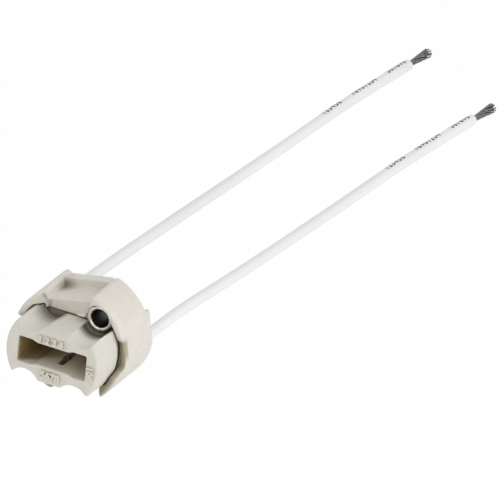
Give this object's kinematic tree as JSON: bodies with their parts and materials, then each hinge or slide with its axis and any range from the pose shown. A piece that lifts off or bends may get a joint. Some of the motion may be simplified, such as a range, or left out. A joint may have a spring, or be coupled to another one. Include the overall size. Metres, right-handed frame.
{
  "type": "mini halogen lamp holder",
  "caption": "Round two-piece ceramic lamp holder with a flat slot for a two-pin capsule lamp, hollow rivets as fixing holes and two insulated leads with bare ends.",
  "frame": {"origin": "on the lamp axis, in the joint plane of the two ceramics, midway between the two fixing holes", "axes": "+Z along the lamp axis, out of the slot; +X along the slot's long side; the leads hang towards -Z"},
  "size_m": [0.0265, 0.0224, 0.1672],
  "materials": {
    "socket_ceramic": "unglazed, matt",
    "cover_ceramic": "unglazed, matt",
    "rivet_plate": "nickel plate, slightly dull",
    "contact_plate": "nickel plate",
    "spring_steel": "satin",
    "lead_insulation": "white silicone, satin",
    "tinned_copper": "tinned strands"
  },
  "bodies": {
    "root": {"socket_body": "socket_ceramic", "rear_cover": "cover_ceramic", "rivet_right": "rivet_plate", "rivet_left": "rivet_plate", "contact_right": "contact_plate", "contact_left": "contact_plate", "leaf_spring_lower": "spring_steel", "leaf_spring_upper": "spring_steel", "lead_right": "lead_insulation", "lead_left": "lead_insulation", "bare_strands_right": "tinned_copper", "bare_strands_left": "tinned_copper", "crimped_strands_right": "tinned_copper", "crimped_strands_left": "tinned_copper"}
  },
  "joints": []
}
